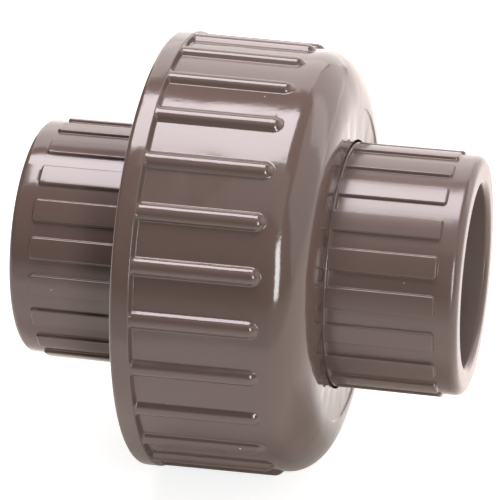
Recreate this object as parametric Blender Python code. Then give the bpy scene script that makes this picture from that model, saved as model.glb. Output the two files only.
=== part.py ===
"""Pipe union for cemented plastic pressure pipe.

Two socketed ends are drawn together over a ring seal by a ribbed nut. The nut screws onto the barrel of
the threaded end, and its shoulder pulls on the flange of the other end. The pipe axis is world X, with the
origin midway along the fitting. Every piece is turned about its own Z axis and hangs from one empty, which
lays that axis along X. Threads are left off: barrel and nut are plain at the thread's mid-height.
"""

import math

import bmesh
import bpy
from mathutils import Matrix

MM = 0.001

# Clearances between pieces
FIT_GAP = 0.3 * MM
FLANGE_PLAY = 0.5 * MM
SEAL_GAP = 0.6 * MM

# Pipe and the sockets it is cemented into
PIPE_DIAMETER = 25.0 * MM
PIPE_WALL = 2.0 * MM
SOCKET_PLAY = 0.2 * MM
SOCKET_DEPTH = 19.0 * MM
SOCKET_LEAD = 0.4 * MM

# Hubs round the sockets
OVERALL_LENGTH = 62.0 * MM
HUB_WALL = 3.95 * MM
HUB_END_ROUND = 1.2 * MM
HUB_PLAIN_END = 2.95 * MM
HUB_RIB_COUNT = 20
HUB_RIB_HEIGHT = 0.45 * MM
HUB_RIB_FOOT = 3.05 * MM
HUB_RIB_CREST = 2.80 * MM
HUB_RIB_SLOPE = 0.20 * MM
THREADED_RIBS_TURNED = math.radians(-0.35)
FLANGED_RIBS_TURNED = math.radians(9.4)

# Nut
NUT_LENGTH = 26.1 * MM
NUT_SET_OVER = 0.2 * MM
NUT_WALL = 5.66 * MM
NUT_RIM_WIDTH = 3.05 * MM
NUT_RIM_ROUND = 0.7 * MM
NUT_RIM_SLOPE = 0.35 * MM
NUT_RIB_COUNT = 26
NUT_RIB_HEIGHT = 0.79 * MM
NUT_RIB_FOOT = 2.55 * MM
NUT_RIB_CREST = 1.30 * MM
NUT_RIB_TIP = 1.3 * MM
NUT_TIP_BLUNTNESS = 0.35
NUT_RIBS_TURNED = math.radians(1.6)
NUT_PLAIN_BAND = 0.46 * MM
NUT_ROUND_LENGTH = 5.75 * MM
NUT_ROUND_HEIGHT = 7.66 * MM
NUT_SHOULDER = 3.6 * MM
NUT_RECESS_DEPTH = 0.5 * MM
NUT_MOUTH_CHAMFER = 1.0 * MM
NUT_CORNER_ROUND = 0.8 * MM

# Thread, flange and ring seal
THREAD_DEPTH = 1.48 * MM
THREAD_CHAMFER = 0.8 * MM
BARREL_SET_BACK = 0.8 * MM
FLANGE_BEARING = 4.65 * MM
FLANGE_THICKNESS = 6.1 * MM
FLANGE_CHAMFER = 0.6 * MM
SEAL_SECTION = 3.0 * MM
SEAL_WALL = 3.85 * MM

# Finishes, as linear colours
PLASTIC_COLOUR = 0.109, 0.072, 0.060
RUBBER_COLOUR = 0.012, 0.012, 0.013
END_ROUGHNESS = 0.32
NUT_ROUGHNESS = 0.28
RUBBER_ROUGHNESS = 0.55

# How finely round shapes are stepped
ROUND_OVER_STEPS = 6
CORNER_STEPS = 3
TIP_STEPS = 3
SEAL_STEPS = 60
SEAL_SECTION_STEPS = 12
SHARP_EDGE = math.radians(35)
MERGE = 0.001 * MM

# Radii, worked outwards from the pipe
SOCKET_MOUTH_RADIUS = (PIPE_DIAMETER + SOCKET_PLAY) / 2
SOCKET_FLOOR_RADIUS = PIPE_DIAMETER / 2
WATERWAY_RADIUS = PIPE_DIAMETER / 2 - PIPE_WALL
HUB_RADIUS = SOCKET_MOUTH_RADIUS + HUB_WALL
HUB_CREST_RADIUS = HUB_RADIUS + HUB_RIB_HEIGHT
NUT_HOLE_RADIUS = HUB_CREST_RADIUS + FIT_GAP
FLANGE_RADIUS = NUT_HOLE_RADIUS + FLANGE_BEARING
THREAD_MID_RADIUS = FLANGE_RADIUS + FLANGE_PLAY + THREAD_DEPTH / 2
BARREL_RADIUS = THREAD_MID_RADIUS - FIT_GAP / 2
NUT_BORE_RADIUS = THREAD_MID_RADIUS + FIT_GAP / 2
NUT_BODY_RADIUS = THREAD_MID_RADIUS + THREAD_DEPTH / 2 + NUT_WALL
NUT_CREST_RADIUS = NUT_BODY_RADIUS + NUT_RIB_HEIGHT
NUT_FACE_RADIUS = NUT_BODY_RADIUS - NUT_ROUND_HEIGHT
SEAL_RADIUS = WATERWAY_RADIUS + SEAL_WALL + SEAL_SECTION / 2
SEAL_GROOVE_WIDTH = SEAL_SECTION + 2 * FIT_GAP
SEAL_GROOVE_DEPTH = SEAL_SECTION + 2 * FIT_GAP - SEAL_GAP

# Places along the axis
END = OVERALL_LENGTH / 2
SOCKET_FLOOR = END - SOCKET_DEPTH
HUB_RIB_END = END - HUB_PLAIN_END
NUT_RIGHT = NUT_LENGTH / 2 + NUT_SET_OVER
NUT_LEFT = NUT_RIGHT - NUT_LENGTH
NUT_RECESS_FLOOR = NUT_RIGHT - NUT_RECESS_DEPTH
NUT_SHOULDER_FACE = NUT_RECESS_FLOOR - NUT_SHOULDER
NUT_ROUND_START = NUT_RIGHT - NUT_ROUND_LENGTH
NUT_RIB_END = NUT_ROUND_START - NUT_PLAIN_BAND
NUT_RIM_END = NUT_LEFT + NUT_RIM_WIDTH
FLANGE_BACK = NUT_SHOULDER_FACE - FIT_GAP
FLANGE_FRONT = FLANGE_BACK - FLANGE_THICKNESS
SEAL_FACE = FLANGE_FRONT - SEAL_GAP
SEAL_FLOOR = SEAL_FACE - SEAL_GROOVE_DEPTH
BARREL_BACK = NUT_LEFT + BARREL_SET_BACK
COLLAR_END = NUT_RIGHT


def arc(centre, reach, start, end, steps):
    """Points (radius, height) on an ellipse about a centre, from one angle to another in degrees."""
    angles = [math.radians(start + (end - start) * i / steps) for i in range(steps + 1)]
    return [
        (centre[0] + reach[0] * math.cos(a), centre[1] + reach[1] * math.sin(a))
        for a in angles
    ]


class Ribs:
    """A ring of equal ribs standing on a cylinder, between two heights along the axis.

    The upper end of a rib can run on into a bull-nosed tip, which narrows no further than its bluntness.
    """

    def __init__(
        self, count, base, height, foot, crest, low, high, turned, tip=0.0, bluntness=1.0
    ):
        self.count = count
        self.base = base
        self.height = height
        self.low = low
        self.high = high
        self.turned = turned
        self.tip = tip
        self.bluntness = bluntness
        self.pitch = math.tau / count
        self.foot_angle = foot / base
        self.crest_angle = crest / (base + height)

    def strides(self):
        """The turns that take a profile from mid-gap, over one rib, to the middle of the next gap."""
        slope = (self.foot_angle - self.crest_angle) / 2
        half_gap = (self.pitch - self.foot_angle) / 2
        return [half_gap, slope, self.crest_angle, slope, half_gap]

    def covers(self, vert):
        """Whether a point lies on the cylinder under the rib that is centred on angle 0."""
        along = self.low - MERGE < vert.co.z < self.high + self.tip + MERGE
        across = abs(math.atan2(vert.co.y, vert.co.x)) < self.foot_angle / 2 + MERGE / self.base
        return along and across and abs(vert.co.xy.length - self.base) < MERGE

    def draw_out(self, vert):
        """Move a covered point to the rib's surface. True where it is on the crest."""
        angle = math.atan2(vert.co.y, vert.co.x)
        on_crest = abs(angle) < (self.crest_angle + self.foot_angle) / 4
        past = (vert.co.z - self.high) / self.tip if self.tip and vert.co.z > self.high else 0.0
        fall = math.sqrt(max(0.0, 1 - past ** 2))
        narrowed = angle * max(fall, self.bluntness)
        radius = self.base + (self.height * fall if on_crest else 0.0)
        vert.co.xy = radius * math.cos(narrowed), radius * math.sin(narrowed)
        return on_crest


def mitre_corners(bm, crest):
    """Split each warped face with one corner on a rib's crest, so that the rib's corners slope off."""
    for face in bm.faces[:]:
        tops = [v for v in face.verts if v in crest]
        if len(tops) != 1:
            continue
        at = list(face.verts).index(tops[0])
        bmesh.ops.connect_verts(bm, verts=[face.verts[at - 1], face.verts[(at + 1) % len(face.verts)]])


def ribbed_turning(profile, ribs):
    """A closed profile of (radius, height) points turned about Z, with ribs drawn out of its surface."""
    bm = bmesh.new()
    verts = [bm.verts.new((radius, 0, z)) for radius, z in profile]
    section = verts + [bm.edges.new(pair) for pair in zip(verts, verts[1:] + verts[:1])]
    bmesh.ops.rotate(bm, verts=verts, matrix=Matrix.Rotation(-ribs.pitch / 2, 3, "Z"))

    # One pitch, swept in strides that end on the rib's own edges
    for angle in ribs.strides():
        swept = bmesh.ops.spin(bm, geom=section, axis=(0, 0, 1), angle=angle, steps=1)
        section = swept["geom_last"]

    # The rib is drawn out of the swept surface
    covered = [v for v in bm.verts if ribs.covers(v)]
    mitre_corners(bm, {v for v in covered if ribs.draw_out(v)})

    # The pitch repeats round the axis
    copies = ribs.count - 1
    whole = bm.verts[:] + bm.edges[:] + bm.faces[:]
    bmesh.ops.spin(
        bm, geom=whole, axis=(0, 0, 1), angle=copies * ribs.pitch, steps=copies, use_duplicate=True
    )
    bmesh.ops.rotate(bm, verts=bm.verts, matrix=Matrix.Rotation(ribs.turned, 3, "Z"))
    bmesh.ops.remove_doubles(bm, verts=bm.verts, dist=MERGE)
    bmesh.ops.recalc_face_normals(bm, faces=bm.faces)
    return bm


def finish(name, colour, roughness):
    """A new material for one moulded piece."""
    material = bpy.data.materials.new(name)
    material.use_nodes = True
    shader = material.node_tree.nodes["Principled BSDF"]
    shader.inputs["Base Color"].default_value = (*colour, 1.0)
    shader.inputs["Roughness"].default_value = roughness
    shader.inputs["Metallic"].default_value = 0.0
    return material


def place(obj, material, axis):
    """Give a finished piece its material and smooth shading, and lay it along the pipe axis."""
    obj.data.materials.append(material)
    obj.data.shade_smooth()
    obj.data.set_sharp_from_angle(angle=SHARP_EDGE)
    obj.parent = axis


def solid(name, bm, collection):
    """A new object that holds a finished mesh."""
    mesh = bpy.data.meshes.new(name)
    bm.to_mesh(mesh)
    bm.free()
    obj = bpy.data.objects.new(name, mesh)
    collection.objects.link(obj)
    return obj


def socket_profile(sign):
    """The waterway's step, the tapered socket and the rounded hub end, from the inside outwards."""
    rounded = HUB_RADIUS - HUB_END_ROUND, sign * (END - HUB_END_ROUND)
    reach = HUB_END_ROUND, sign * HUB_END_ROUND
    return [
        (WATERWAY_RADIUS, sign * SOCKET_FLOOR),
        (SOCKET_FLOOR_RADIUS, sign * SOCKET_FLOOR),
        (SOCKET_MOUTH_RADIUS, sign * (END - SOCKET_LEAD)),
        (SOCKET_MOUTH_RADIUS + SOCKET_LEAD, sign * END),
        *arc(rounded, reach, 90, 0, CORNER_STEPS),
    ]


def threaded_end(collection):
    """The end with the barrel for the nut and the groove for the ring seal."""
    ribs = Ribs(
        HUB_RIB_COUNT, HUB_RADIUS, HUB_RIB_HEIGHT, HUB_RIB_FOOT, HUB_RIB_CREST,
        HUB_RIB_SLOPE - HUB_RIB_END, BARREL_BACK, THREADED_RIBS_TURNED,
    )
    groove_out = SEAL_RADIUS + SEAL_GROOVE_WIDTH / 2
    groove_in = SEAL_RADIUS - SEAL_GROOVE_WIDTH / 2
    profile = socket_profile(-1) + [
        (HUB_RADIUS, -HUB_RIB_END),
        (HUB_RADIUS, HUB_RIB_SLOPE - HUB_RIB_END),
        (HUB_RADIUS, BARREL_BACK),
        (BARREL_RADIUS - THREAD_CHAMFER, BARREL_BACK),
        (BARREL_RADIUS, BARREL_BACK + THREAD_CHAMFER),
        (BARREL_RADIUS, SEAL_FACE - THREAD_CHAMFER),
        (BARREL_RADIUS - THREAD_CHAMFER, SEAL_FACE),
        (groove_out, SEAL_FACE),
        (groove_out, SEAL_FLOOR),
        (groove_in, SEAL_FLOOR),
        (groove_in, SEAL_FACE),
        (WATERWAY_RADIUS, SEAL_FACE),
    ]
    return solid("threaded_end", ribbed_turning(profile, ribs), collection)


def flanged_end(collection):
    """The end with the flange that the nut's shoulder pulls on."""
    ribs = Ribs(
        HUB_RIB_COUNT, HUB_RADIUS, HUB_RIB_HEIGHT, HUB_RIB_FOOT, HUB_RIB_CREST,
        COLLAR_END + HUB_RIB_SLOPE, HUB_RIB_END - HUB_RIB_SLOPE, FLANGED_RIBS_TURNED,
    )
    profile = socket_profile(1) + [
        (HUB_RADIUS, HUB_RIB_END),
        (HUB_RADIUS, HUB_RIB_END - HUB_RIB_SLOPE),
        (HUB_RADIUS, COLLAR_END + HUB_RIB_SLOPE),
        (HUB_CREST_RADIUS, COLLAR_END),
        (HUB_CREST_RADIUS, FLANGE_BACK),
        (FLANGE_RADIUS, FLANGE_BACK),
        (FLANGE_RADIUS, FLANGE_FRONT + FLANGE_CHAMFER),
        (FLANGE_RADIUS - FLANGE_CHAMFER, FLANGE_FRONT),
        (WATERWAY_RADIUS, FLANGE_FRONT),
    ]
    return solid("flanged_end", ribbed_turning(profile, ribs), collection)


def union_nut(collection):
    """The ring nut: a plain rim, grip ribs that run off it, and a round-over down to the shoulder."""
    ribs = Ribs(
        NUT_RIB_COUNT, NUT_BODY_RADIUS, NUT_RIB_HEIGHT, NUT_RIB_FOOT, NUT_RIB_CREST,
        NUT_RIM_END, NUT_RIB_END - NUT_RIB_TIP, NUT_RIBS_TURNED, NUT_RIB_TIP, NUT_TIP_BLUNTNESS,
    )
    tip_rows = arc((NUT_BODY_RADIUS, ribs.high), (0, NUT_RIB_TIP), 90, 0, TIP_STEPS)
    rim_round = NUT_CREST_RADIUS - NUT_RIM_ROUND, NUT_LEFT + NUT_RIM_ROUND
    profile = [
        (NUT_HOLE_RADIUS, NUT_SHOULDER_FACE),
        (NUT_HOLE_RADIUS, NUT_RECESS_FLOOR),
        (NUT_FACE_RADIUS - NUT_RECESS_DEPTH, NUT_RECESS_FLOOR),
        *arc(
            (NUT_FACE_RADIUS, NUT_ROUND_START), (NUT_ROUND_HEIGHT, NUT_ROUND_LENGTH),
            90, 0, ROUND_OVER_STEPS,
        ),
        *tip_rows,
        (NUT_BODY_RADIUS, NUT_RIM_END),
        (NUT_CREST_RADIUS, NUT_RIM_END - NUT_RIM_SLOPE),
        *arc(rim_round, (NUT_RIM_ROUND, -NUT_RIM_ROUND), 0, 90, CORNER_STEPS),
        (NUT_BORE_RADIUS + NUT_MOUTH_CHAMFER, NUT_LEFT),
        (NUT_BORE_RADIUS, NUT_LEFT + NUT_MOUTH_CHAMFER),
        (NUT_BORE_RADIUS, NUT_SHOULDER_FACE - NUT_CORNER_ROUND),
        (NUT_BORE_RADIUS - NUT_CORNER_ROUND, NUT_SHOULDER_FACE),
    ]
    return solid("union_nut", ribbed_turning(profile, ribs), collection)


def o_ring(collection):
    """The ring seal, lying in its groove and standing a little proud of the seal face."""
    bpy.ops.mesh.primitive_torus_add(
        major_radius=SEAL_RADIUS,
        minor_radius=SEAL_SECTION / 2,
        major_segments=SEAL_STEPS,
        minor_segments=SEAL_SECTION_STEPS,
    )
    ring = bpy.context.object
    ring.name = "o_ring"
    ring.location.z = SEAL_FLOOR + FIT_GAP + SEAL_SECTION / 2
    for other in ring.users_collection:
        other.objects.unlink(ring)
    collection.objects.link(ring)
    return ring


def main():
    for obj in list(bpy.data.objects):
        bpy.data.objects.remove(obj)
    collection = bpy.data.collections.new("pipe_union")
    bpy.context.scene.collection.children.link(collection)

    # Local Z of every piece lies along world X
    axis = bpy.data.objects.new("pipe_axis", None)
    axis.rotation_euler = (0, math.pi / 2, 0)
    collection.objects.link(axis)

    ends = PLASTIC_COLOUR, END_ROUGHNESS
    place(threaded_end(collection), finish("threaded_end_plastic", *ends), axis)
    place(flanged_end(collection), finish("flanged_end_plastic", *ends), axis)
    place(union_nut(collection), finish("union_nut_plastic", PLASTIC_COLOUR, NUT_ROUGHNESS), axis)
    place(o_ring(collection), finish("o_ring_rubber", RUBBER_COLOUR, RUBBER_ROUGHNESS), axis)


main()
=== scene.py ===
"""Looks of a socket pipe union in grey-brown moulded plastic.

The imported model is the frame. Each of its mouldings is replaced by a finer mesh in the same place: ribs with
rounded edges, the nut's half-round rib tips, screw threads that mesh at every pose, and the ring seal.
Pieces are turned about their own Z axis and are laid along the pipe axis, world X, when they are finished.
"""

import functools
import logging
import math
from collections.abc import Sequence
from dataclasses import dataclass
from enum import Enum

import bmesh
import bpy
import numpy as np
from bmesh.types import BMEdge, BMesh, BMVert
from bpy.types import ID, Material, Node, NodeSocket, NodeTree, Object
from mathutils import Matrix, Vector


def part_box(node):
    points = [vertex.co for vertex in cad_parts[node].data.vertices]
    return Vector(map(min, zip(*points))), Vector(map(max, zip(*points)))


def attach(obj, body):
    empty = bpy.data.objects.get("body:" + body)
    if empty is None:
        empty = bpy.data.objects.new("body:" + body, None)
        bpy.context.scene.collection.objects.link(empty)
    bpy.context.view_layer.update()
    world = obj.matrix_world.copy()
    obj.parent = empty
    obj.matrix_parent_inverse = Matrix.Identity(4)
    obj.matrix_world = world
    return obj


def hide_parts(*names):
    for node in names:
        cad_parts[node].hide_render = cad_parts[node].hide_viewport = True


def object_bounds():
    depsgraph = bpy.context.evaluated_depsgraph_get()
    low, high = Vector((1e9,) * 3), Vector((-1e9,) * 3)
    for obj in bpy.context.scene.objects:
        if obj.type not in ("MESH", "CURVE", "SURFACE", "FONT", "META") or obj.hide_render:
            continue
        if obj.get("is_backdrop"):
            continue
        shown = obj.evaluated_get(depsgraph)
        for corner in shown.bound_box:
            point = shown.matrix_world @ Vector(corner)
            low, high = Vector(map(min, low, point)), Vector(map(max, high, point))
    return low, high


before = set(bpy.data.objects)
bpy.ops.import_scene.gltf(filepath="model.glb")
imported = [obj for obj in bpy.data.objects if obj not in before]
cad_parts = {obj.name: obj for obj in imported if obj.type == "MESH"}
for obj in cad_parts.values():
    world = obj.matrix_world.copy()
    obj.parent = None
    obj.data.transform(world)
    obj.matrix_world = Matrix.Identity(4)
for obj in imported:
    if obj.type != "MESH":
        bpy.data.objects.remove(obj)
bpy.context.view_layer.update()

LOG = logging.getLogger("pipe_union")
MM = 0.001
WELD = 0.001 * MM
AXIS = Vector((0, 0, 1))
CENTRE = Vector((0, 0, 0))
ALONG_PIPE = Matrix.Rotation(math.pi / 2, 3, "Y")
SHARP_EDGE = math.radians(34)
Colour = tuple[float, float, float]
Span = tuple[float, float]


class Slot(Enum):
    """Names of the material slots."""

    END_PLASTIC = "end_plastic"
    NUT_PLASTIC = "nut_plastic"
    SEAL_RUBBER = "seal_rubber"


class RibEnd(Enum):
    """How the free end of a rib is shaped."""

    SQUARE = "steep, with rounded corners"
    BULL_NOSE = "half round, sloped like the flanks"


class ThreadSide(Enum):
    """Which of two mating threads, as the way its surface keeps clear of the other: inwards or outwards."""

    BARREL = -1
    NUT = 1


@dataclass(frozen=True)
class Corner:
    """A corner of an outline.

    Attributes:
        x: Place across the outline, which is the radius on a turned one.
        y: Place along the outline, which is the height on a turned one.
        round: Radius that the corner is rounded to.
        steps: Steps that the rounding is made in.
    """

    x: float
    y: float
    round: float = 0.0
    steps: int = 4

    @property
    def point(self) -> Vector:
        """The corner as a point."""
        return Vector((self.x, self.y))


def rounded(corners: Sequence[Corner]) -> list[Vector]:
    """Draws an outline with its corners rounded.

    Args:
        corners: The outline's corners in order, of which the first and the last stay sharp.

    Returns:
        The outline's points.
    """
    points = []
    for index, corner in enumerate(corners):
        if not corner.round or index in (0, len(corners) - 1):
            points.append(corner.point)
            continue
        back = (corners[index - 1].point - corner.point).normalized()
        on = (corners[index + 1].point - corner.point).normalized()
        half = back.angle(on) / 2
        middle = corner.point + (back + on).normalized() * (corner.round / math.sin(half))
        reach = corner.round / math.tan(half)
        first = corner.point + back * reach - middle
        last = corner.point + on * reach - middle
        sweep = math.atan2(first.cross(last), first.dot(last))
        for step in range(corner.steps + 1):
            points.append(middle + Matrix.Rotation(sweep * step / corner.steps, 2) @ first)
    return points


def oval(centre: Vector, reach: Vector, start: float, end: float, steps: int) -> list[Corner]:
    """Draws part of an ellipse.

    Args:
        centre: The ellipse's centre.
        reach: Its half-axes across and along.
        start: Angle of the first point, in degrees.
        end: Angle of the last point, in degrees.
        steps: Steps from the first to the last.

    Returns:
        The points as plain corners.
    """
    angles = [math.radians(start + (end - start) * step / steps) for step in range(steps + 1)]
    return [
        Corner(centre.x + reach.x * math.cos(angle), centre.y + reach.y * math.sin(angle))
        for angle in angles
    ]


def refined(values: Sequence[float], longest: float) -> list[float]:
    """Splits the steps of a list of values until none is longer than a limit.

    Args:
        values: Values in order, rising or falling.
        longest: The longest step allowed.

    Returns:
        The values with more in between.
    """
    fine = [values[0]]
    for start, end in zip(values, values[1:]):
        parts = max(1, math.ceil(abs(end - start) / longest))
        fine += [start + (end - start) * (part + 1) / parts for part in range(parts)]
    return fine


@dataclass(frozen=True)
class RibRing:
    """Equal ribs round a moulded body, each from a buried root to a free tip.

    Attributes:
        count: How many ribs.
        base: Radius of the body that they stand on, at their root.
        height: How far they stand out of it.
        foot: Width at the body.
        crest: Width at the top.
        foot_round: Radius of the fillet along the foot.
        crest_round: Radius along the crest's edges.
        root: Place along the axis where a rib starts, inside a neighbouring surface.
        tip: Place along the axis where its foot ends.
        turned: Angle that the ring is turned by, in degrees.
        end: Shape of the tip.
        end_run: How far a square end slopes from crest to foot.
        corner: Radius of a square end's corners in plan.
        corner_bends: Angles round such a corner where the mesh has a line, in degrees.
        draft: Angle that the body narrows at towards the tips, in degrees.
        point: Length of a half-round tip, against half the rib's foot.
        fine: Longest mesh step on a half-round tip.
        coarse: Longest mesh step between ribs.
    """

    count: int
    base: float
    height: float
    foot: float
    crest: float
    foot_round: float
    crest_round: float
    root: float
    tip: float
    turned: float
    end: RibEnd
    end_run: float = 0.16 * MM
    corner: float = 0.55 * MM
    corner_bends: Sequence[int] = range(15, 91, 15)
    draft: float = 0.0
    point: float = 1.15
    fine: float = 0.12 * MM
    coarse: float = 0.32 * MM

    @property
    def pitch(self) -> float:
        """Distance from rib to rib round the body."""
        return math.tau * self.base / self.count

    @property
    def onward(self) -> float:
        """1 where the ribs run up the axis from root to tip, or -1 where they run down it."""
        return math.copysign(1.0, self.tip - self.root)

    def base_at(self, along: float) -> float:
        """Radius of the body at one place along the axis."""
        return self.base - math.tan(math.radians(self.draft)) * (along - self.root) * self.onward

    def section(self) -> list[Vector]:
        """Half a rib's cross-section as (across, rise), from its middle to the middle of the gap."""
        return rounded([
            Corner(0, self.height),
            Corner(self.crest / 2, self.height, self.crest_round, steps=6),
            Corner(self.foot / 2, 0, self.foot_round),
            Corner(self.pitch / 2, 0),
        ])

    def end_section(self) -> list[Vector]:
        """A square end's section as (distance in from the tip, rise), from the crest to the plain body."""
        return rounded([
            Corner(2 * self.corner, self.height),
            Corner(self.end_run, self.height, self.crest_round),
            Corner(0, 0, self.foot_round),
            Corner(-self.corner, 0),
        ])

    def columns(self) -> list[float]:
        """Angles of the lines that sweep one pitch, from mid-gap over a rib to mid-gap."""
        across = [point.x for point in self.section()]
        on_rib = self.fine if self.end is RibEnd.BULL_NOSE else self.coarse
        half = refined(across[:-1], on_rib) + refined(across[-2:], self.coarse)[1:]
        whole = [-x for x in reversed(half[1:])] + half
        return [x / self.base for x in whole]

    def rows(self) -> list[float]:
        """Places along the axis where a rib's tip needs a line, from root to tip."""
        if self.end is RibEnd.BULL_NOSE:
            beyond = self.section()[-2].x - self.foot / 2
            inward = refined([self.point * self.foot / 2, -self.point * beyond], self.fine)
        else:
            in_plan = [self.corner * (1 - math.cos(math.radians(bend))) for bend in self.corner_bends]
            inward = sorted([point.x for point in self.end_section()] + in_plan, reverse=True)
        return [self.tip - self.onward * distance for distance in inward]

    def share(self, across: float, along: float) -> float:
        """Finds how high a rib stands at one place.

        Args:
            across: Distance from the rib's middle, round the body.
            along: Place along the axis.

        Returns:
            The share of the full height, from 0 to 1.
        """
        reach, rise = np.array(self.section()).T
        inward = (self.tip - along) * self.onward
        if self.end is RibEnd.BULL_NOSE:
            from_middle = math.hypot(across, max(0.0, self.foot / 2 - inward / self.point))
            return float(np.interp(from_middle, reach, rise)) / self.height
        distance, end_rise = np.array(self.end_section()[::-1]).T
        fall = np.interp(inward, distance, end_rise) / self.height
        return float(np.interp(abs(across), reach, rise) * fall) / self.height

    def drawn_in(self, across: float, along: float) -> float:
        """Moves a place across a rib inwards where a square end's corners are rounded in plan.

        Args:
            across: Distance from the rib's middle, round the body.
            along: Place along the axis.

        Returns:
            The distance to use instead.
        """
        if self.end is RibEnd.BULL_NOSE:
            return across
        inward = min(max((self.tip - along) * self.onward, 0.0), self.corner)
        inset = self.corner - math.sqrt(self.corner**2 - (self.corner - inward) ** 2)
        section = self.section()
        knots = [0, section[1].x, section[-2].x, self.pitch / 2]
        moved = [0, section[1].x - inset, section[-2].x - inset, self.pitch / 2]
        return math.copysign(float(np.interp(abs(across), knots, moved)), across)

    def raise_vertex(self, vert: BMVert) -> None:
        """Moves a vertex of the swept surface onto the rib over it, where there is one."""
        base = self.base_at(vert.co.z)
        rise = vert.co.xy.length - base
        past_root = (vert.co.z - self.root) * self.onward
        past_tip = (vert.co.z - self.tip) * self.onward
        on_body = -WELD < rise < self.height
        if not on_body or past_root < -WELD or past_tip > self.foot / 2:
            return
        across = math.atan2(vert.co.y, vert.co.x) * self.base
        share = self.share(across, vert.co.z)
        radius = base + self.height - (self.height - rise) * (1 - share)
        angle = self.drawn_in(across, vert.co.z) / self.base
        vert.co.xy = radius * math.cos(angle), radius * math.sin(angle)


def upright(bm: BMesh, outline: Sequence[Vector]) -> list[BMVert | BMEdge]:
    """Stands an outline of (radius, height) points up beside the axis and returns its vertices and edges."""
    verts = [bm.verts.new((point.x, 0, point.y)) for point in outline]
    return verts + [bm.edges.new(pair) for pair in zip(verts, verts[1:])]


def turned(outline: Sequence[Vector], steps: int) -> BMesh:
    """Turns an outline evenly about the axis.

    Args:
        outline: Points as (radius, height).
        steps: Steps in the full turn.

    Returns:
        The turned surface, open at the outline's two ends.
    """
    bm = bmesh.new()
    strip = upright(bm, outline)
    bmesh.ops.spin(bm, geom=strip, cent=CENTRE, axis=AXIS, angle=math.tau, steps=steps, use_merge=True)
    return bm


def ribbed(outline: Sequence[Vector], ribs: RibRing) -> BMesh:
    """Turns an outline about the axis and raises ribs on it.

    Args:
        outline: Points as (radius, height).
        ribs: The ring of ribs.

    Returns:
        The turned surface, open at the outline's two ends.
    """
    bm = bmesh.new()
    strip = upright(bm, outline)
    columns = ribs.columns()
    bmesh.ops.rotate(bm, verts=bm.verts, cent=CENTRE, matrix=Matrix.Rotation(columns[0], 3, AXIS))
    for start, end in zip(columns, columns[1:]):
        swept = bmesh.ops.spin(bm, geom=strip, cent=CENTRE, axis=AXIS, angle=end - start, steps=1)
        strip = swept["geom_last"]
    for vert in bm.verts:
        ribs.raise_vertex(vert)
    copies = ribs.count - 1
    bmesh.ops.spin(
        bm, geom=bm.verts[:] + bm.edges[:] + bm.faces[:], cent=CENTRE, axis=AXIS,
        angle=math.tau * copies / ribs.count, steps=copies, use_duplicate=True,
    )
    first_rib = Matrix.Rotation(math.radians(ribs.turned), 3, AXIS)
    bmesh.ops.rotate(bm, verts=bm.verts, cent=CENTRE, matrix=first_rib)
    bmesh.ops.remove_doubles(bm, verts=bm.verts, dist=WELD)
    return bm


@dataclass(frozen=True)
class Thread:
    """The right-handed pipe thread that the barrel and the nut share.

    Attributes:
        pitch: Advance in one turn.
        middle: Radius at half the thread's depth.
        depth: From crest to root.
        flank: Slope of the flanks from square to the axis, in degrees.
        round: Radius at crest and root.
        slack: How far each side keeps from the shared form.
        steps: Steps in one turn.
    """

    pitch: float = 2.309 * MM
    middle: float = 23.19 * MM
    depth: float = 1.48 * MM
    flank: float = 27.5
    round: float = 0.2 * MM
    slack: float = 0.1 * MM
    steps: int = 144

    def root(self, side: ThreadSide) -> float:
        """Radius at the bottom of one side's groove."""
        return self.middle + side.value * (self.depth / 2 + self.slack)

    def teeth(self, side: ThreadSide, low: float, high: float) -> list[Vector]:
        """Outline of whole teeth from below one height to above another, as (radius, height)."""
        run = self.depth * math.tan(math.radians(self.flank))
        flat = (self.pitch - 2 * run) / 2
        inner = self.middle - self.depth / 2 + side.value * self.slack
        outer = inner + self.depth
        corners = []
        for turn in range(math.floor(low / self.pitch) - 2, math.ceil(high / self.pitch) + 2):
            foot = turn * self.pitch
            corners += [
                Corner(inner, foot, self.round, steps=2),
                Corner(inner, foot + flat, self.round, steps=2),
                Corner(outer, foot + flat + run, self.round, steps=2),
                Corner(outer, foot + 2 * flat + run, self.round, steps=2),
            ]
        return rounded(corners)

    def helix(self, side: ThreadSide, low: Vector, high: Vector) -> BMesh:
        """Sweeps one side's thread and fades it out to plain circles at both ends.

        Args:
            side: Barrel or nut.
            low: Radius and height of the lower circle.
            high: Radius and height of the upper circle.

        Returns:
            The threaded surface, open at its two circles.
        """
        bm = bmesh.new()
        strip = upright(bm, self.teeth(side, low.y, high.y))
        advance = Vector((0, 0, self.pitch / self.steps))
        bmesh.ops.spin(
            bm, geom=strip, cent=CENTRE, axis=AXIS, dvec=advance, angle=math.tau, steps=self.steps
        )
        bmesh.ops.remove_doubles(bm, verts=bm.verts, dist=WELD)
        for circle, outward in ((low, -AXIS), (high, AXIS)):
            bmesh.ops.bisect_plane(
                bm, geom=bm.verts[:] + bm.edges[:] + bm.faces[:], dist=WELD / 10,
                plane_co=AXIS * circle.y, plane_no=outward, clear_outer=True,
            )
        # Near each circle the tooth runs out on a slope of 45 degrees.
        for vert in bm.verts:
            fade = max(
                side.value * vert.co.xy.length,
                side.value * low.x - (vert.co.z - low.y),
                side.value * high.x - (high.y - vert.co.z),
            )
            vert.co.xy = vert.co.xy.normalized() * abs(fade)
        return bm


def absorb(bm: BMesh, other: BMesh) -> None:
    """Adds another mesh to one that is being built, and frees the other."""
    carrier = bpy.data.meshes.new("carrier")
    other.to_mesh(carrier)
    other.free()
    bm.from_mesh(carrier)
    bpy.data.meshes.remove(carrier)


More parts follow.
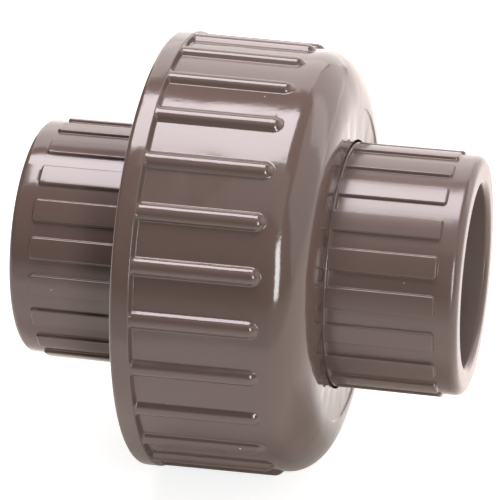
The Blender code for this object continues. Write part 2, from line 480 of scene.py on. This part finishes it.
def close_flat(bm: BMesh, height: float) -> None:
    """Fills the flat ring between the two open edges at one height along the axis."""
    rims = [
        edge for edge in bm.edges
        if edge.is_boundary and all(abs(vert.co.z - height) < WELD for vert in edge.verts)
    ]
    bmesh.ops.triangle_fill(bm, use_beauty=True, use_dissolve=False, edges=rims, normal=AXIS)


def added(name: str, data: ID) -> Object:
    """Adds an object with a mesh, lamp or camera to the scene and returns it."""
    item = bpy.data.objects.new(name, data)
    bpy.context.scene.collection.objects.link(item)
    return item


def finished(bm: BMesh, name: str) -> Object:
    """Lays a turned mesh along the pipe axis and makes it a smooth-shaded object.

    Args:
        bm: The mesh, turned about Z.
        name: The object's name.

    Returns:
        The new object.
    """
    bmesh.ops.rotate(bm, verts=bm.verts, cent=CENTRE, matrix=ALONG_PIPE)
    bmesh.ops.remove_doubles(bm, verts=bm.verts, dist=WELD)
    bmesh.ops.recalc_face_normals(bm, faces=bm.faces)
    open_edges = sum(edge.is_boundary for edge in bm.edges)
    mesh = bpy.data.meshes.new(name)
    bm.to_mesh(mesh)
    bm.free()
    mesh.shade_smooth()
    mesh.set_sharp_from_angle(angle=SHARP_EDGE)
    piece = added(name, mesh)
    normals = piece.modifiers.new("even_shading", "WEIGHTED_NORMAL")
    normals.keep_sharp = True
    LOG.info("%s: %d faces, %d open edges", name, len(mesh.polygons), open_edges)
    return piece


def feed(tree: NodeTree, socket: NodeSocket, value: NodeSocket | float | Sequence[float]) -> None:
    """Links an input to another socket, or sets it to a plain value."""
    if isinstance(value, NodeSocket):
        tree.links.new(value, socket)
    else:
        socket.default_value = value


def maths(tree: NodeTree, operation: str, *values: NodeSocket | float) -> NodeSocket:
    """Adds a Math node on sockets or plain numbers and returns its output."""
    node = tree.nodes.new("ShaderNodeMath")
    node.operation = operation
    for socket, value in zip(node.inputs, values):
        feed(tree, socket, value)
    return node.outputs["Value"]


def mixed(
    tree: NodeTree,
    share: NodeSocket | float,
    first: NodeSocket | Sequence[float],
    second: NodeSocket | Sequence[float],
    blend: str = "MIX",
) -> NodeSocket:
    """Mixes two colours.

    Args:
        tree: The node tree to add to.
        share: How much of the second colour is mixed in, from 0 to 1.
        first: The first colour.
        second: The second colour.
        blend: The way of mixing.

    Returns:
        A socket with the mixed colour.
    """
    node = tree.nodes.new("ShaderNodeMix")
    node.data_type = "RGBA"
    node.blend_type = blend
    for name, value in (("Factor", share), ("A", first), ("B", second)):
        feed(tree, node.inputs[name], value)
    return node.outputs["Result"]


def graded(tree: NodeTree, value: NodeSocket, span: Span, first: Colour, second: Colour) -> NodeSocket:
    """Goes from one colour to another over a span of a value.

    Args:
        tree: The node tree to add to.
        value: A socket with the value.
        span: The values at which the first colour ends and the second one starts.
        first: The first colour.
        second: The second colour.

    Returns:
        A socket with the colour.
    """
    share = tree.nodes.new("ShaderNodeMapRange")
    share.inputs["From Min"].default_value, share.inputs["From Max"].default_value = span
    tree.links.new(value, share.inputs["Value"])
    return mixed(tree, share.outputs["Result"], (*first, 1), (*second, 1))


class MouldedSkin:
    """Shader node group for a moulded surface: uneven tone, streaks, gloss, dust and a rippled relief.

    Attributes:
        BROAD_SCALE: Scale of the broad ripple and of the slow changes of tone.
        PEEL_SCALE: Scale of the fine grain.
        PEEL_HEIGHT: Height of the grain, against the ripple.
        STREAK_SCALE: Scale of the streaks across the pipe axis.
        STREAK_STRETCH: Share of that scale along the pipe axis and across it.
        DUST_COLOUR: Colour of the specks.
        DUST_SCALE: Scale of the cells that may hold a speck.
        DUST_SIZE: Radius of a speck, against its cell.
        DUST_EMPTY: Share of the cells that hold none.
        BORE_RADIUS: Radius from the pipe axis within which the sockets are dull.
        BORE_ROUGHNESS: Roughness there.
    """

    NAME = "moulded_skin"
    BROAD_SCALE = 75
    PEEL_SCALE = 1400
    PEEL_HEIGHT = 0.03
    STREAK_SCALE = 2600
    STREAK_STRETCH = (0.04, 1, 1)
    DUST_COLOUR = (0.62, 0.58, 0.55, 1)
    DUST_SCALE = 210
    DUST_SIZE = 0.03
    DUST_EMPTY = 0.6
    BORE_RADIUS = 12.65 * MM
    BORE_ROUGHNESS = 0.6

    @classmethod
    def group(cls) -> NodeTree:
        """Builds the group once, with outputs Colour, Roughness and Height, and returns it."""
        if cls.NAME in bpy.data.node_groups:
            return bpy.data.node_groups[cls.NAME]
        tree = bpy.data.node_groups.new(cls.NAME, "ShaderNodeTree")
        sockets = tree.interface
        sockets.new_socket("Colour", in_out="INPUT", socket_type="NodeSocketColor")
        for name in ("Tone", "Roughness", "Gloss Spread", "Streaks", "Dust"):
            sockets.new_socket(name, in_out="INPUT", socket_type="NodeSocketFloat")
        sockets.new_socket("Colour", in_out="OUTPUT", socket_type="NodeSocketColor")
        sockets.new_socket("Roughness", in_out="OUTPUT", socket_type="NodeSocketFloat")
        sockets.new_socket("Height", in_out="OUTPUT", socket_type="NodeSocketFloat")
        cls._wire(tree)
        return tree

    @classmethod
    def _wire(cls, tree: NodeTree) -> None:
        """Fills the group with its nodes."""
        given = tree.nodes.new("NodeGroupInput")
        result = tree.nodes.new("NodeGroupOutput")
        place = tree.nodes.new("ShaderNodeTexCoord").outputs["Object"]

        broad = cls._noise(tree, place, cls.BROAD_SCALE, detail=2)
        peel = cls._noise(tree, place, cls.PEEL_SCALE, detail=2)
        stretched = tree.nodes.new("ShaderNodeMapping")
        stretched.inputs["Scale"].default_value = cls.STREAK_STRETCH
        tree.links.new(place, stretched.inputs["Vector"])
        streak = cls._noise(tree, stretched.outputs["Vector"], cls.STREAK_SCALE, detail=3)

        tone = cls._sum(tree, (broad, 0.5), (streak, 0.5))
        tone = maths(tree, "MULTIPLY_ADD", tone, given.outputs["Tone"], 1.0)
        tinted = tree.nodes.new("ShaderNodeHueSaturation")
        tree.links.new(tone, tinted.inputs["Value"])
        tree.links.new(given.outputs["Colour"], tinted.inputs["Color"])

        dusty = maths(tree, "MULTIPLY", cls._dust(tree, place), given.outputs["Dust"])
        colour = mixed(tree, dusty, tinted.outputs["Color"], cls.DUST_COLOUR)
        tree.links.new(colour, result.inputs["Colour"])

        gloss = cls._sum(tree, (broad, 0.5), (peel, 0.5))
        spread, middle = given.outputs["Gloss Spread"], given.outputs["Roughness"]
        gloss = maths(tree, "MULTIPLY_ADD", gloss, spread, middle)
        gloss = maths(tree, "MAXIMUM", gloss, cls._dull_bore(tree, place))
        tree.links.new(gloss, result.inputs["Roughness"])

        lines = maths(tree, "MULTIPLY", streak, given.outputs["Streaks"])
        relief = cls._sum(tree, (broad, 1.0), (peel, cls.PEEL_HEIGHT))
        tree.links.new(maths(tree, "ADD", relief, lines), result.inputs["Height"])

    @staticmethod
    def _noise(tree: NodeTree, place: NodeSocket, scale: float, detail: float) -> NodeSocket:
        """Adds a noise that runs from about -0.5 to 0.5 and returns its output."""
        noise = tree.nodes.new("ShaderNodeTexNoise")
        noise.inputs["Scale"].default_value = scale
        noise.inputs["Detail"].default_value = detail
        tree.links.new(place, noise.inputs["Vector"])
        return maths(tree, "SUBTRACT", noise.outputs["Fac"], 0.5)

    @classmethod
    def _dull_bore(cls, tree: NodeTree, place: NodeSocket) -> NodeSocket:
        """Adds the roughness of what lies inside the sockets, with none elsewhere, and returns it."""
        across = tree.nodes.new("ShaderNodeVectorMath")
        across.operation = "MULTIPLY"
        across.inputs[1].default_value = (0, 1, 1)
        tree.links.new(place, across.inputs[0])
        radius = tree.nodes.new("ShaderNodeVectorMath")
        radius.operation = "LENGTH"
        tree.links.new(across.outputs["Vector"], radius.inputs[0])
        inside = maths(tree, "LESS_THAN", radius.outputs["Value"], cls.BORE_RADIUS)
        return maths(tree, "MULTIPLY", inside, cls.BORE_ROUGHNESS)

    @classmethod
    def _dust(cls, tree: NodeTree, place: NodeSocket) -> NodeSocket:
        """Adds sparse round specks and returns their mask."""
        cells = tree.nodes.new("ShaderNodeTexVoronoi")
        cells.inputs["Scale"].default_value = cls.DUST_SCALE
        tree.links.new(place, cells.inputs["Vector"])
        speck = maths(tree, "LESS_THAN", cells.outputs["Distance"], cls.DUST_SIZE)
        parts = tree.nodes.new("ShaderNodeSeparateColor")
        tree.links.new(cells.outputs["Color"], parts.inputs["Color"])
        chosen = maths(tree, "GREATER_THAN", parts.outputs["Red"], cls.DUST_EMPTY)
        return maths(tree, "MULTIPLY", speck, chosen)

    @staticmethod
    def _sum(tree: NodeTree, *parts: tuple[NodeSocket, float]) -> NodeSocket:
        """Adds up sockets by their weights and returns the result."""
        total: NodeSocket | float = 0.0
        for socket, weight in parts:
            total = maths(tree, "MULTIPLY_ADD", socket, weight, total)
        return total


@dataclass(frozen=True)
class Finish:
    """A moulded finish.

    Attributes:
        name: The material's name.
        colour: Base colour, linear.
        roughness: Middle roughness.
        tone: Spread of lightness over the surface.
        gloss_spread: Spread of roughness over the surface.
        streaks: Depth of the streaks along the pipe axis, against the ripple.
        dust: How much the specks show.
        relief: Height of the ripple.
        refraction: Index of refraction, which sets the strength of the gloss.
    """

    name: str
    colour: Colour
    roughness: float
    tone: float
    gloss_spread: float
    streaks: float
    dust: float
    relief: float
    refraction: float = 1.53

    @functools.cache
    def material(self) -> Material:
        """Makes the finish's material once and returns it."""
        material = bpy.data.materials.new(self.name)
        material.use_nodes = True
        tree = material.node_tree
        shader = tree.nodes["Principled BSDF"]
        shader.inputs["IOR"].default_value = self.refraction
        skin = tree.nodes.new("ShaderNodeGroup")
        skin.node_tree = MouldedSkin.group()
        settings = {
            "Colour": (*self.colour, 1), "Tone": self.tone, "Roughness": self.roughness,
            "Gloss Spread": self.gloss_spread, "Streaks": self.streaks, "Dust": self.dust,
        }
        for name, value in settings.items():
            skin.inputs[name].default_value = value
        bump = tree.nodes.new("ShaderNodeBump")
        bump.inputs["Strength"].default_value = 1.0
        bump.inputs["Distance"].default_value = self.relief
        tree.links.new(skin.outputs["Colour"], shader.inputs["Base Color"])
        tree.links.new(skin.outputs["Roughness"], shader.inputs["Roughness"])
        tree.links.new(skin.outputs["Height"], bump.inputs["Height"])
        tree.links.new(bump.outputs["Normal"], shader.inputs["Normal"])
        return material


PLASTIC = 0.098, 0.067, 0.056
RUBBER = 0.012, 0.012, 0.013
END_FINISH = Finish(
    "satin_moulding", PLASTIC, roughness=0.13, tone=0.20, gloss_spread=0.05,
    streaks=0.08, dust=0.2, relief=0.05 * MM,
)
TAIL_FINISH = Finish(
    "brushed_moulding", PLASTIC, roughness=0.22, tone=0.25, gloss_spread=0.12,
    streaks=0.10, dust=0.2, relief=0.07 * MM,
)
NUT_FINISH = Finish(
    "gloss_moulding", PLASTIC, roughness=0.12, tone=0.10, gloss_spread=0.05,
    streaks=0.005, dust=0.6, relief=0.32 * MM,
)
RUBBER_FINISH = Finish(
    "dull_rubber", RUBBER, roughness=0.55, tone=0.25, gloss_spread=0.15,
    streaks=0.0, dust=0.2, relief=0.03 * MM,
)


def settle(piece: Object, finish: Finish, body: str, node: str) -> None:
    """Gives a piece its finish and ties it to the frame.

    Args:
        piece: The finished piece.
        finish: Its finish.
        body: The body that it rides on.
        node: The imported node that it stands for.
    """
    piece.data.materials.append(finish.material())
    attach(piece, body)
    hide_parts(node)
    LOG.info("%s rides on %s", piece.name, body)


@dataclass(frozen=True)
class Hub:
    """The ribbed hub and pipe socket that both ends have.

    Attributes:
        radius: Outside radius between the ribs.
        end_round: Radius round the end of the hub.
        plain_end: Length without ribs at the end.
        mouth: Radius of the socket's mouth.
        mouth_round: Radius round the mouth's edge.
        floor: Radius of the socket at its floor.
        floor_round: Radius round the floor's corners.
        depth: Depth of the socket.
        waterway: Radius of the bore beyond the floor.
        bore_steps: Mesh steps round the socket and the waterway.
    """

    radius: float = 16.55 * MM
    end_round: float = 1.2 * MM
    plain_end: float = 2.95 * MM
    mouth: float = 12.6 * MM
    mouth_round: float = 0.9 * MM
    floor: float = 12.5 * MM
    floor_round: float = 0.4 * MM
    depth: float = 19.0 * MM
    waterway: float = 10.5 * MM
    rib_count: int = 20
    rib_height: float = 0.45 * MM
    rib_foot: float = 3.05 * MM
    rib_crest: float = 2.8 * MM
    rib_foot_round: float = 0.12 * MM
    rib_crest_round: float = 0.22 * MM
    bore_steps: int = 180

    def ribs(self, root: float, end: float, first: float) -> RibRing:
        """Sets out the hub's ribs, the first one at an angle, from their root to the plain end."""
        tip = end - math.copysign(self.plain_end, end)
        return RibRing(
            self.rib_count, self.radius, self.rib_height, self.rib_foot, self.rib_crest,
            self.rib_foot_round, self.rib_crest_round, root, tip, first, RibEnd.SQUARE,
        )

    def outside(self, ribs: RibRing, end: float) -> list[Corner]:
        """Draws the hub from its ribs round onto the end face."""
        return [
            *(Corner(self.radius, row) for row in ribs.rows()),
            Corner(self.radius, end, self.end_round, steps=6),
            Corner(self.radius - 1.5 * self.end_round, end),
        ]

    def inside(self, end: float) -> list[Corner]:
        """Draws the socket from the end face to its floor and into the waterway."""
        inward = -math.copysign(1.0, end)
        floor = end + inward * self.depth
        return [
            Corner(self.mouth + 1.5 * self.mouth_round, end),
            Corner(self.mouth, end, self.mouth_round, steps=7),
            Corner(self.floor, floor, self.floor_round, steps=3),
            Corner(self.waterway, floor, self.floor_round, steps=3),
        ]


@dataclass(frozen=True)
class ThreadedEnd:
    """The end with the threaded barrel and the groove for the ring seal.

    Attributes:
        end: Place of the hub's end along the axis.
        face: Place of the seal face along the axis.
        back: Place of the barrel's back along the axis.
        barrel_end: Radius that the thread runs out to at both ends of the barrel.
    """

    end: float
    face: float
    back: float = -12.05 * MM
    ribs_turned: float = -0.35
    groove_middle: float = 15.85 * MM
    groove_width: float = 3.6 * MM
    groove_depth: float = 3.0 * MM
    groove_round: float = 0.25 * MM
    barrel_end: float = 22.15 * MM
    hub: Hub = Hub(end_round=0.85 * MM)
    thread: Thread = Thread()

    def build(self) -> Object:
        """Models the moulding: hub and socket, seal groove, and barrel with its thread."""
        ribs = self.hub.ribs(self.back, self.end, self.ribs_turned)
        inner = self.groove_middle - self.groove_width / 2
        outer = self.groove_middle + self.groove_width / 2
        floor = self.face - self.groove_depth
        outside = [Corner(self.hub.radius, self.back), *self.hub.outside(ribs, self.end)]
        inside = [
            *self.hub.inside(self.end),
            Corner(self.hub.waterway, self.face, self.groove_round, steps=2),
            Corner(inner, self.face, self.groove_round, steps=2),
            Corner(inner, floor, self.groove_round, steps=2),
            Corner(outer, floor, self.groove_round, steps=2),
            Corner(outer, self.face),
        ]
        bm = ribbed(rounded(outside), ribs)
        absorb(bm, turned(rounded(inside), self.hub.bore_steps))
        low = Vector((self.barrel_end, self.back))
        high = Vector((self.barrel_end, self.face))
        absorb(bm, self.thread.helix(ThreadSide.BARREL, low, high))
        for height in (self.back, self.face, self.end):
            close_flat(bm, height)
        return finished(bm, "threaded_end_moulding")

    def dress(self, piece: Object) -> None:
        """Gives the moulding its finish and its place in the frame."""
        settle(piece, END_FINISH, "threaded_end", "threaded_end")


@dataclass(frozen=True)
class FlangedEnd:
    """The end with the flange that the nut's shoulder pulls on.

    Attributes:
        end: Place of the hub's end along the axis.
        front: Place of the flange's front along the axis.
        flange_back: Place of the flange's back along the axis.
        collar_end: Place along the axis where the collar in the nut's hole ends.
    """

    end: float
    front: float
    flange_back: float = 8.85 * MM
    flange_radius: float = 21.95 * MM
    flange_chamfer: float = 0.6 * MM
    flange_round: float = 0.3 * MM
    collar_end: float = 13.3 * MM
    ribs_turned: float = 9.4
    hub: Hub = Hub()

    def build(self) -> Object:
        """Models the moulding: flange, collar, ribbed hub and socket."""
        ribs = self.hub.ribs(self.collar_end, self.end, self.ribs_turned)
        collar = self.hub.radius + self.hub.rib_height
        outside = [
            Corner(self.flange_radius - self.flange_chamfer, self.front),
            Corner(self.flange_radius, self.front + self.flange_chamfer),
            Corner(self.flange_radius, self.flange_back, self.flange_round),
            Corner(collar, self.flange_back, self.flange_round),
            Corner(collar, self.collar_end, self.hub.rib_crest_round),
            Corner(self.hub.radius, self.collar_end + ribs.end_run, self.hub.rib_foot_round),
            *self.hub.outside(ribs, self.end),
        ]
        inside = [
            *self.hub.inside(self.end),
            Corner(self.hub.waterway, self.front, self.flange_round),
            Corner(self.hub.waterway + 2 * self.flange_round, self.front),
        ]
        bm = ribbed(rounded(outside), ribs)
        absorb(bm, turned(rounded(inside), self.hub.bore_steps))
        for height in (self.front, self.end):
            close_flat(bm, height)
        return finished(bm, "flanged_end_moulding")

    def dress(self, piece: Object) -> None:
        """Gives the moulding its finish and its place in the frame."""
        settle(piece, TAIL_FINISH, "flanged_end", "flanged_end")


@dataclass(frozen=True)
class UnionNut:
    """The ring nut: plain rim, half-round grip ribs, and a round-over down to a recessed face.

    Attributes:
        left: Place of the rim's end along the axis.
        right: Place of the face's edge along the axis.
        rim: Radius of the rim.
        body: Radius between the ribs, at the rim.
        draft: Angle that the body narrows at from the rim on, in degrees.
        face: Radius of the face's edge.
        rim_slope: How far the rim slopes down to the body.
        rib_gap_step: Longest mesh step between the ribs.
        plain_band: Length between the ribs' tips and the round-over.
        recess: Depth of the face within its edge.
        hole: Radius of the hole that the flanged end's collar sits in.
        shoulder: Thickness of the shoulder round the hole.
        mouth: Radius that the thread runs out to at the rim.
    """

    left: float
    right: float
    rim: float = 30.58 * MM
    body: float = 29.66 * MM
    draft: float = 0.8
    face: float = 21.93 * MM
    rim_width: float = 3.05 * MM
    rim_slope: float = 0.35 * MM
    rim_round: float = 0.7 * MM
    rim_step_round: float = 0.22 * MM
    rib_count: int = 26
    rib_height: float = 0.79 * MM
    rib_foot: float = 2.55 * MM
    rib_crest: float = 1.3 * MM
    rib_foot_round: float = 0.3 * MM
    rib_crest_round: float = 1.2 * MM
    ribs_turned: float = 1.6
    rib_gap_step: float = 0.8 * MM
    plain_band: float = 0.46 * MM
    round_length: float = 5.75 * MM
    round_steps: int = 28
    recess: float = 0.2 * MM
    recess_round: float = 0.1 * MM
    hole: float = 17.3 * MM
    hole_round: float = 0.15 * MM
    shoulder: float = 3.9 * MM
    mouth: float = 24.6 * MM
    thread: Thread = Thread()

    def ribs(self) -> RibRing:
        """Sets out the grip ribs, from inside the rim to the plain band before the round-over."""
        root = self.left + self.rim_width / 2
        tip = self.right - self.round_length - self.plain_band
        return RibRing(
            self.rib_count, self.body, self.rib_height, self.rib_foot, self.rib_crest,
            self.rib_foot_round, self.rib_crest_round, root, tip, self.ribs_turned, RibEnd.BULL_NOSE,
            draft=self.draft, coarse=self.rib_gap_step,
        )

    def build(self) -> Object:
        """Models the nut: ribbed outside, face, hole, shoulder and threaded bore."""
        ribs = self.ribs()
        rim_end = self.left + self.rim_width
        round_start = self.right - self.round_length
        round_reach = Vector((ribs.base_at(round_start) - self.face, self.round_length))
        floor = self.right - self.recess
        shoulder = floor - self.shoulder
        outline = rounded([
            Corner(self.rim - 2 * self.rim_round, self.left),
            Corner(self.rim, self.left, self.rim_round, steps=6),
            Corner(self.rim, rim_end - self.rim_slope, self.rim_step_round),
            Corner(ribs.base_at(rim_end), rim_end, self.rim_step_round),
            *(Corner(ribs.base_at(row), row) for row in ribs.rows()),
            *oval(Vector((self.face, round_start)), round_reach, 0, 90, self.round_steps),
            Corner(self.face - self.recess, floor, self.recess_round),
            Corner(self.hole, floor, self.hole_round, steps=2),
            Corner(self.hole, shoulder),
        ])
        bm = ribbed(outline, ribs)
        low = Vector((self.mouth, self.left))
        high = Vector((self.thread.root(ThreadSide.NUT), shoulder))
        absorb(bm, self.thread.helix(ThreadSide.NUT, low, high))
        for height in (self.left, shoulder):
            close_flat(bm, height)
        return finished(bm, "union_nut_moulding")

    def dress(self, piece: Object) -> None:
        """Gives the nut its finish and its place in the frame."""
        settle(piece, NUT_FINISH, "union_nut", "union_nut")


@dataclass(frozen=True)
class SealRing:
    """The ring seal in its groove, with the fine flash line of its mould.

    Attributes:
        middle: Place of its section's middle along the axis.
        radius: Radius of the ring to the middle of its section.
        section: Diameter of the section.
        flash: How far the flash line stands out.
    """

    middle: float
    radius: float = 15.85 * MM
    section: float = 3.0 * MM
    section_steps: int = 32
    ring_steps: int = 160
    flash: float = 0.04 * MM

    def build(self) -> Object:
        """Models the ring."""
        bm = bmesh.new()
        stood_up = Matrix.Rotation(math.pi / 2, 4, "X")
        moved = Matrix.Translation((self.radius, 0, self.middle))
        circle = bmesh.ops.create_circle(
            bm, segments=self.section_steps, radius=self.section / 2, matrix=moved @ stood_up
        )
        for vert in circle["verts"]:
            if abs(vert.co.z - self.middle) < WELD:
                vert.co.x += math.copysign(self.flash, vert.co.x - self.radius)
        bmesh.ops.spin(
            bm, geom=bm.verts[:] + bm.edges[:], cent=CENTRE, axis=AXIS,
            angle=math.tau, steps=self.ring_steps, use_merge=True,
        )
        return finished(bm, "o_ring_moulding")

    def dress(self, piece: Object) -> None:
        """Gives the ring its finish and its place in the frame."""
        settle(piece, RUBBER_FINISH, "threaded_end", "o_ring")


@dataclass(frozen=True)
class SoftBox:
    """A rectangular studio lamp that faces the object.

    Attributes:
        name: The lamp's name.
        place: Where its middle is.
        along: The way its length runs.
        width: Its width.
        length: Its length.
        glow: Its brightness, where 1 is white.
        tint: Its colour.
    """

    name: str
    place: tuple[float, float, float]
    along: tuple[float, float, float]
    width: float
    length: float
    glow: float
    tint: Colour = (1.0, 1.0, 1.0)

    def hang(self) -> None:
        """Adds the lamp to the scene."""
        lamp = bpy.data.lights.new(self.name, "AREA")
        lamp.shape = "RECTANGLE"
        lamp.size = self.width
        lamp.size_y = self.length
        lamp.energy = self.glow * math.pi * self.width * self.length
        lamp.color = self.tint
        away = Vector(self.place).normalized()
        length = Vector(self.along)
        length = (length - away * length.dot(away)).normalized()
        axes = Matrix((length.cross(away), length, away)).transposed()
        fixture = added(self.name, lamp)
        fixture.matrix_world = Matrix.LocRotScale(Vector(self.place), axes.to_quaternion(), None)


TOP_TINT = 1.0, 0.915, 0.965
BACK_TINT = 1.0, 0.95, 0.95


@dataclass(frozen=True)
class Studio:
    """White floor, soft boxes, dim room and the camera.

    Attributes:
        floor_level: Height of the floor.
        floor_side: Side of the floor.
        floor_colour: Colour of the floor under the lamps.
        front_painted_shade: Colour of the floor well in front of the object, out of the camera's view,
            darkened there as painted shade.
        front_edge: Where the floor colour ends and the painted shade starts, towards the front.
        floor_roughness: Roughness of the floor.
        floor_white: White that the floor adds for the camera.
        floor_glow: White that the floor adds in reflections.
        shade_glow: What it adds in reflections right under the object.
        shade_middle: Where the shade under the object has its middle, from front to back.
        shade_reach: How much further the shade goes along the pipe than across it, to either side.
        shade_edge: How far from its middle line it ends and the full glow starts.
        far_shade_share: Share of the glow that is left far in front, dimmed there as painted shade.
        far_edge: Where that share ends and the full glow starts, towards the object.
        room: Brightness of the room.
        azimuth: The camera's place round the object, in degrees.
        elevation: The camera's height above the horizon, in degrees.
        distance: From the camera to the object's middle.
        lens: Focal length on a sensor 36 mm wide.
        shift: The camera's shift, as shares of the picture's width.
        nearest: Nearest distance that the camera shows.
    """

    floor_level: float
    floor_side: float = 6.0
    floor_colour: Colour = (0.62, 0.56, 0.51)
    front_painted_shade: Colour = (0.18, 0.17, 0.16)
    front_edge: Span = (-0.085, -0.105)
    floor_roughness: float = 0.9
    floor_white: Colour = (0.76, 0.78, 0.79)
    floor_glow: Colour = (0.75, 0.73, 0.71)
    shade_glow: Colour = (0.20, 0.19, 0.18)
    shade_middle: float = -0.010
    shade_reach: float = 0.025
    shade_edge: Span = (0.010, 0.021)
    far_shade_share: float = 0.4
    far_edge: Span = (-0.32, -0.12)
    room: float = 0.12
    azimuth: float = 13.07
    elevation: float = 24.15
    distance: float = 0.4
    lens: float = 206.35
    shift: Span = (-0.0121, 0.0109)
    nearest: float = 0.01
    lamps: tuple[SoftBox, ...] = (
        SoftBox("top_box", (-0.0575, 0.024, 0.70), (0, 1, 0), 0.445, 0.415, 12.0, TOP_TINT),
        SoftBox("front_strip", (0.385, -0.676, 0.226), (0.04, 0, -1), 0.18, 0.44, 14.8),
        SoftBox("ceiling", (0.17, -0.52, 0.84), (0, 1, 0), 0.80, 0.55, 0.65),
        SoftBox("back_panel", (-0.179, 0.788, 0.629), (0, 0, 1), 0.90, 0.70, 2.4, BACK_TINT),
        SoftBox("low_back_panel", (-0.233, 1.027, 0.114), (0, 0, 1), 0.95, 0.47, 1.85, BACK_TINT),
        SoftBox("back_right_panel", (0.56, 0.75, 0.33), (0.26, -0.19, 1), 0.77, 0.9, 1.5, BACK_TINT),
        SoftBox("right_panel", (0.95, 0.20, 0.40), (0, 0, 1), 1.4, 1.1, 1.0),
    )

    def build(self) -> None:
        """Sets up the floor, the light and the camera."""
        self._floor()
        for lamp in self.lamps:
            lamp.hang()
        self._world()
        self._camera()
        bpy.context.scene.view_settings.view_transform = "Standard"

    def _floor(self) -> None:
        """Lays the floor."""
        bm = bmesh.new()
        placed = Matrix.Translation((0, 0, self.floor_level))
        bmesh.ops.create_grid(bm, x_segments=1, y_segments=1, size=self.floor_side / 2, matrix=placed)
        mesh = bpy.data.meshes.new("floor")
        bm.to_mesh(mesh)
        bm.free()
        mesh.materials.append(self._floor_material())
        floor = added("floor", mesh)
        floor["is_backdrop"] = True

    def _floor_material(self) -> Material:
        """Makes a material that adds white where the floor is seen and keeps the shadow on it."""
        material = bpy.data.materials.new("white_floor")
        material.use_nodes = True
        tree = material.node_tree
        shader = tree.nodes["Principled BSDF"]
        place = tree.nodes.new("ShaderNodeSeparateXYZ")
        tree.links.new(tree.nodes.new("ShaderNodeTexCoord").outputs["Object"], place.inputs["Vector"])
        # Well in front of the object the floor's colour is darkened: painted shade.
        tone = graded(tree, place.outputs["Y"], self.front_edge, self.floor_colour, self.front_painted_shade)
        tree.links.new(tone, shader.inputs["Base Color"])
        shader.inputs["Roughness"].default_value = self.floor_roughness
        shader.inputs["Specular IOR Level"].default_value = 0.0
        glow = tree.nodes.new("ShaderNodeEmission")
        tree.links.new(self._floor_light(tree, place), glow.inputs["Color"])
        seen = tree.nodes.new("ShaderNodeMixShader")
        both = tree.nodes.new("ShaderNodeAddShader")
        tree.links.new(self._seen_rays(tree), seen.inputs["Fac"])
        tree.links.new(shader.outputs["BSDF"], both.inputs[0])
        tree.links.new(glow.outputs["Emission"], both.inputs[1])
        tree.links.new(shader.outputs["BSDF"], seen.inputs[1])
        tree.links.new(both.outputs["Shader"], seen.inputs[2])
        tree.links.new(seen.outputs["Shader"], tree.nodes["Material Output"].inputs["Surface"])
        return material

    def _floor_light(self, tree: NodeTree, place: Node) -> NodeSocket:
        """Finds the white that the floor adds at each place, for the camera and in reflections.

        Args:
            tree: The node tree to add to.
            place: A node with the place along and across the pipe as X and Y.

        Returns:
            A socket with the colour.
        """
        # Under the object the floor's white in reflections is dimmed: a painted shadow.
        along = maths(tree, "ABSOLUTE", place.outputs["X"])
        along = maths(tree, "SUBTRACT", along, self.shade_reach)
        across = maths(tree, "SUBTRACT", place.outputs["Y"], self.shade_middle)
        across = maths(tree, "ABSOLUTE", across)
        apart = maths(tree, "MAXIMUM", along, across)
        near = graded(tree, apart, self.shade_edge, self.shade_glow, self.floor_glow)
        # Far in front the floor's white in reflections is dimmed too: painted shade.
        share = graded(tree, place.outputs["Y"], self.far_edge, (self.far_shade_share,) * 3, (1.0,) * 3)
        reflected = mixed(tree, 1.0, near, share, "MULTIPLY")
        on_camera = tree.nodes.new("ShaderNodeLightPath").outputs["Is Camera Ray"]
        return mixed(tree, on_camera, reflected, (*self.floor_white, 1))

    @staticmethod
    def _seen_rays(tree: NodeTree) -> NodeSocket:
        """Returns a socket that is 1 on the rays that the floor is seen by."""
        path = tree.nodes.new("ShaderNodeLightPath")
        total = path.outputs["Is Camera Ray"]
        for name in ("Is Glossy Ray", "Is Transmission Ray"):
            total = maths(tree, "MAXIMUM", total, path.outputs[name])
        return total

    def _world(self) -> None:
        """Lights the room dimly and evenly."""
        world = bpy.data.worlds.new("room")
        world.use_nodes = True
        background = world.node_tree.nodes["Background"]
        background.inputs["Color"].default_value = (*(self.room,) * 3, 1)
        bpy.context.scene.world = world

    def _camera(self) -> None:
        """Sets the camera where the picture was taken from."""
        around = math.radians(self.azimuth)
        above = math.radians(self.elevation)
        back = Vector((
            math.sin(around) * math.cos(above),
            -math.cos(around) * math.cos(above),
            math.sin(above),
        ))
        lens = bpy.data.cameras.new("camera")
        lens.lens = self.lens
        lens.shift_x, lens.shift_y = self.shift
        lens.clip_start = self.nearest
        camera = added("camera", lens)
        camera.location = back * self.distance
        camera.rotation_euler = (-back).to_track_quat("-Z", "Y").to_euler()
        bpy.context.scene.camera = camera


def main() -> None:
    """Builds every piece in its place in the frame, and the studio round it."""
    logging.basicConfig(level=logging.INFO, format="%(message)s")
    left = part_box("threaded_end")
    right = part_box("flanged_end")
    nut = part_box("union_nut")
    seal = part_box("o_ring")
    assemblies = (
        ThreadedEnd(end=left[0].x, face=left[1].x),
        FlangedEnd(end=right[1].x, front=right[0].x),
        UnionNut(left=nut[0].x, right=nut[1].x),
        SealRing(middle=(seal[0].x + seal[1].x) / 2),
    )
    for assembly in assemblies:
        assembly.dress(assembly.build())
    Studio(floor_level=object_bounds()[0].z).build()


if __name__ == "__main__":
    main()
